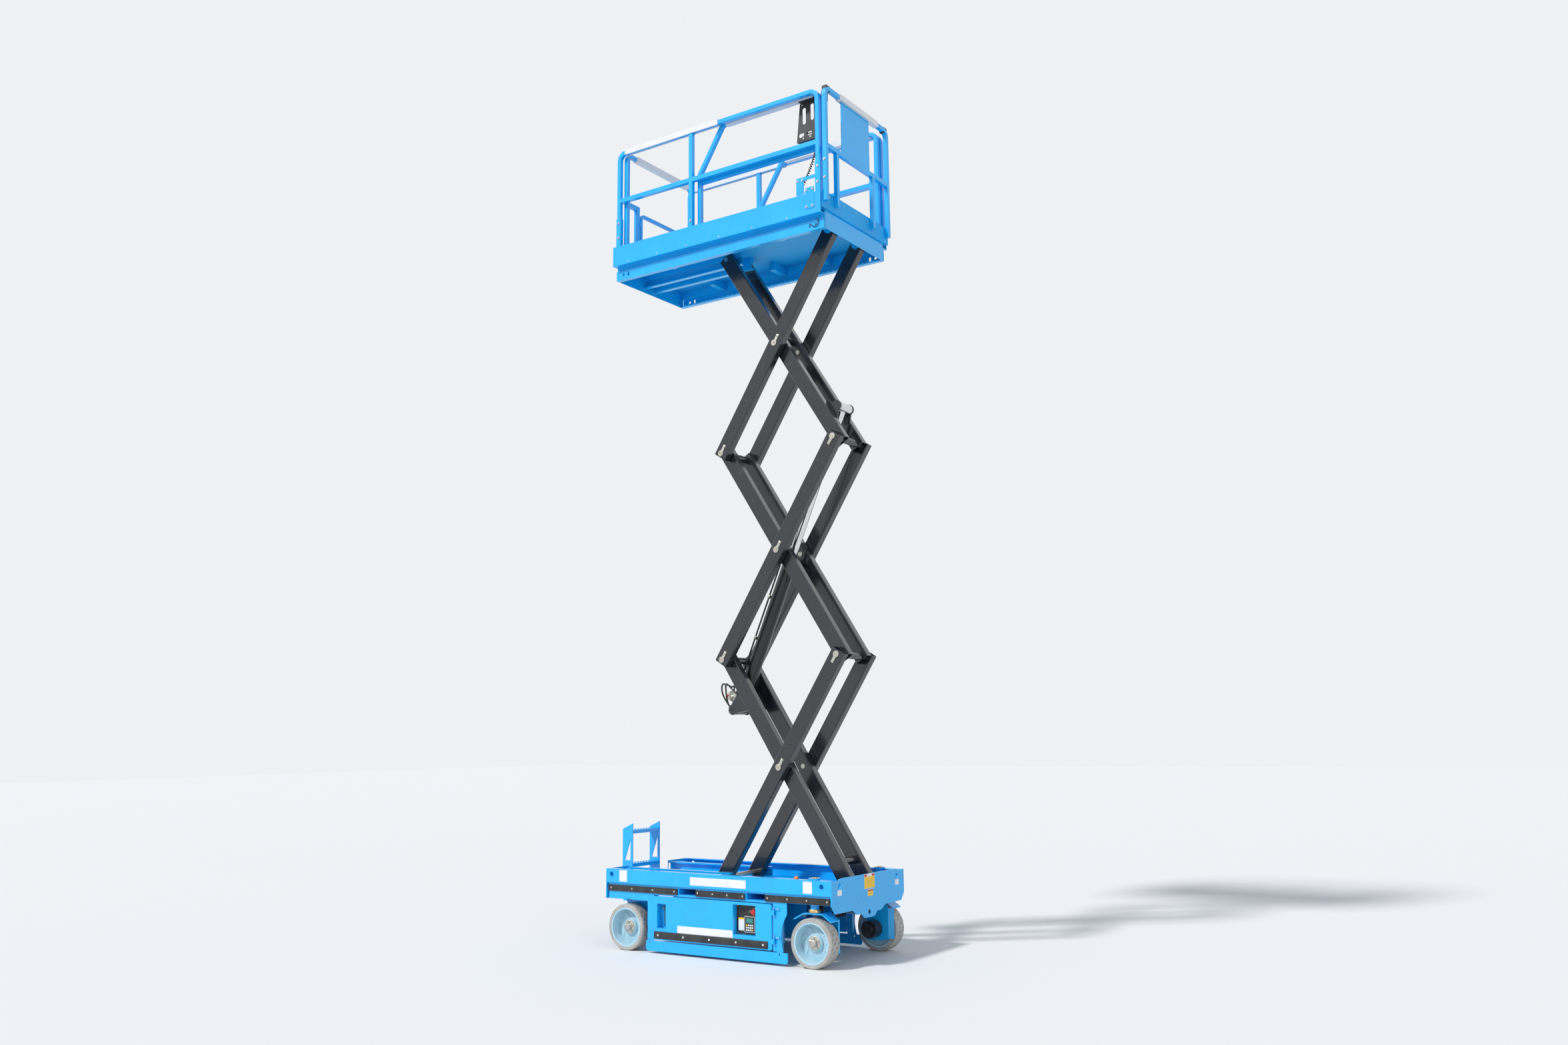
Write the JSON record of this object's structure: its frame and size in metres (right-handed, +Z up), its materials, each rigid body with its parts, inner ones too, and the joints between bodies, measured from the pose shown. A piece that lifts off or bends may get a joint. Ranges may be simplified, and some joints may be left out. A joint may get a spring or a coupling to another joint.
{
  "type": "scissor lift",
  "caption": "Self-propelled electric scissor lift with raised platform, sliding deck extension, entry gate, swing-out trays and steered solid-tyre wheels.",
  "frame": {"origin": "on the floor, under the middle of the overall length and width", "axes": "+X towards the steering end, +Y to the left side, +Z up"},
  "size_m": [2.483, 1.166, 7.222],
  "materials": {
    "amber": "gloss",
    "black_paint": "gloss",
    "black_plastic": "matt",
    "charcoal_paint": "gloss",
    "cord_rubber": "matt",
    "deck_steel": "satin",
    "rim_paint": "satin",
    "rod_chrome": "polished",
    "sky_blue_paint": "gloss",
    "tyre": "matt",
    "white_sleeve": "satin",
    "zinc": "satin"
  },
  "bodies": {
    "chassis": {"chassis_frame": "sky_blue_paint", "fork_tubes": "sky_blue_paint", "kingpin_towers": "sky_blue_paint", "pivot_lugs": "sky_blue_paint", "rear_wall": "sky_blue_paint", "slide_tracks": "sky_blue_paint", "side_rails": "sky_blue_paint", "skirts": "sky_blue_paint", "front_plate": "sky_blue_paint", "rub_strips": "black_plastic", "ladder": "sky_blue_paint", "steer_cylinder": "black_paint", "beacon": "amber"},
    "steer_left": {"knuckle_left": "sky_blue_paint", "drive_motor_left": "black_paint"},
    "steer_right": {"knuckle_right": "sky_blue_paint", "drive_motor_right": "black_paint"},
    "steer_rod": {"steer_rod": "rod_chrome"},
    "tray_left": {"tray_left": "sky_blue_paint", "battery_pack": "black_plastic"},
    "tray_right": {"tray_right": "sky_blue_paint", "power_unit": "black_plastic", "door_controls": "black_plastic"},
    "guard_left": {"pothole_guard_left": "sky_blue_paint"},
    "guard_right": {"pothole_guard_right": "sky_blue_paint"},
    "inner_1": {"inner_arms_1": "charcoal_paint"},
    "inner_2": {"inner_arms_2": "charcoal_paint"},
    "inner_3": {"inner_arms_3": "charcoal_paint", "upper_rollers": "zinc"},
    "outer_1": {"outer_arms_1": "charcoal_paint", "pins_1": "zinc", "lower_rollers": "zinc"},
    "outer_2": {"outer_arms_2": "charcoal_paint", "pins_2": "zinc"},
    "outer_3": {"outer_arms_3": "charcoal_paint", "pins_3": "zinc"},
    "barrel": {"lift_barrel": "black_paint"},
    "rod": {"lift_rod": "rod_chrome"},
    "platform": {"platform_frame": "sky_blue_paint", "platform_deck": "deck_steel", "toe_boards": "sky_blue_paint", "main_rails": "sky_blue_paint", "rail_sleeves": "white_sleeve", "rear_rail": "sky_blue_paint"},
    "gate": {"entry_gate": "sky_blue_paint"},
    "extension": {"extension_deck": "deck_steel", "extension_rails": "sky_blue_paint", "front_rail": "sky_blue_paint", "extension_sleeves": "white_sleeve", "control_holder": "black_plastic", "control_cord": "cord_rubber", "foot_latch": "black_plastic"},
    "wheel_front_right": {"tyre_front_right": "tyre", "rim_front_right": "rim_paint"},
    "wheel_front_left": {"tyre_front_left": "tyre", "rim_front_left": "rim_paint"},
    "wheel_rear_right": {"tyre_rear_right": "tyre", "rim_rear_right": "rim_paint"},
    "wheel_rear_left": {"tyre_rear_left": "tyre", "rim_rear_left": "rim_paint"}
  },
  "joints": [
    {"name": "lift", "type": "hinge", "parent": "chassis", "child": "inner_1", "pos_m": [1.0785, 0, 0.614], "axis": [0, 1, 0], "range_deg": [-52.5, 0]},
    {"name": "cross_1", "type": "hinge", "parent": "inner_1", "child": "outer_1", "pos_m": [0.50117, 0, 1.52022], "axis": [0, 1, 0], "range_deg": [0, 105.02]},
    {"name": "knee_2", "type": "hinge", "parent": "outer_1", "child": "inner_2", "pos_m": [1.0785, 0, 2.42645], "axis": [0, 1, 0], "range_deg": [-105.02, 0]},
    {"name": "cross_2", "type": "hinge", "parent": "inner_2", "child": "outer_2", "pos_m": [0.50117, 0, 3.33267], "axis": [0, 1, 0], "range_deg": [0, 105.02]},
    {"name": "knee_3", "type": "hinge", "parent": "outer_2", "child": "inner_3", "pos_m": [1.0785, 0, 4.2389], "axis": [0, 1, 0], "range_deg": [-105.02, 0]},
    {"name": "cross_3", "type": "hinge", "parent": "inner_3", "child": "outer_3", "pos_m": [0.50117, 0, 5.14512], "axis": [0, 1, 0], "range_deg": [0, 105.02]},
    {"name": "platform_pivot", "type": "hinge", "parent": "outer_3", "child": "platform", "pos_m": [1.0785, 0, 6.05135], "axis": [0, 1, 0], "range_deg": [-52.52, 0]},
    {"name": "barrel_pivot", "type": "hinge", "parent": "inner_1", "child": "barrel", "pos_m": [-0.07802, 0, 2.00316], "axis": [0, 1, 0], "range_deg": [0, 96.75]},
    {"name": "rod_slide", "type": "slide", "parent": "barrel", "child": "rod", "axis": [0.3987, 0, 0.9171], "range_m": [-1.12411, 0]},
    {"name": "guard_fold_left", "type": "hinge", "parent": "chassis", "child": "guard_left", "pos_m": [0.0585, 0.561, 0.101], "axis": [-1, 0, 0], "range_deg": [0, 90.02]},
    {"name": "guard_fold_right", "type": "hinge", "parent": "chassis", "child": "guard_right", "pos_m": [0.0585, -0.561, 0.101], "axis": [1, 0, 0], "range_deg": [0, 90.02]},
    {"name": "steer_left", "type": "hinge", "parent": "chassis", "child": "steer_left", "pos_m": [0.9925, 0.5075, 0.3], "axis": [0, 0, 1], "range_deg": [-65, 65]},
    {"name": "steer_right", "type": "hinge", "parent": "chassis", "child": "steer_right", "pos_m": [0.9925, -0.5075, 0.3], "axis": [0, 0, 1], "range_deg": [-65.01, 65.01]},
    {"name": "steer_slide", "type": "slide", "parent": "chassis", "child": "steer_rod", "axis": [0, 1, 0], "range_m": [-0.1305, 0.1305]},
    {"name": "tray_swing_left", "type": "hinge", "parent": "chassis", "child": "tray_left", "pos_m": [0.6505, 0.575, 0.29], "axis": [0, 0, -1], "range_deg": [0, 95]},
    {"name": "tray_swing_right", "type": "hinge", "parent": "chassis", "child": "tray_right", "pos_m": [0.6505, -0.575, 0.29], "axis": [0, 0, 1], "range_deg": [0, 95]},
    {"name": "extension_slide", "type": "slide", "parent": "platform", "child": "extension", "axis": [1, 0, 0], "range_m": [0, 0.9]},
    {"name": "gate_swing", "type": "hinge", "parent": "platform", "child": "gate", "pos_m": [-0.9745, -0.3115, 6.4], "axis": [0, 0, -1], "range_deg": [0, 90]},
    {"name": "spin_front_right", "type": "hinge", "parent": "steer_right", "child": "wheel_front_right", "pos_m": [0.9925, -0.5075, 0.1905], "axis": [0, 1, 0], "continuous": true},
    {"name": "spin_front_left", "type": "hinge", "parent": "steer_left", "child": "wheel_front_left", "pos_m": [0.9925, 0.5075, 0.1905], "axis": [0, 1, 0], "continuous": true},
    {"name": "spin_rear_right", "type": "hinge", "parent": "chassis", "child": "wheel_rear_right", "pos_m": [-0.8755, -0.5075, 0.1905], "axis": [0, 1, 0], "continuous": true},
    {"name": "spin_rear_left", "type": "hinge", "parent": "chassis", "child": "wheel_rear_left", "pos_m": [-0.8755, 0.5075, 0.1905], "axis": [0, 1, 0], "continuous": true}
  ],
  "couplings": [
    {"joint": "cross_1", "follows": "lift", "ratio": -2},
    {"joint": "knee_2", "follows": "lift", "ratio": 2},
    {"joint": "cross_2", "follows": "lift", "ratio": -2},
    {"joint": "knee_3", "follows": "lift", "ratio": 2},
    {"joint": "cross_3", "follows": "lift", "ratio": -2},
    {"joint": "platform_pivot", "follows": "lift", "ratio": 1},
    {"joint": "barrel_pivot", "follows": "lift", "ratio": -1.8425},
    {"joint": "rod_slide", "follows": "lift", "m_per_rad": 1.2263},
    {"joint": "guard_fold_left", "follows": "lift", "ratio": -1.714},
    {"joint": "guard_fold_right", "follows": "lift", "ratio": -1.714},
    {"joint": "steer_right", "follows": "steer_left", "ratio": 1},
    {"joint": "steer_slide", "follows": "steer_left", "m_per_rad": 0.115}
  ]
}
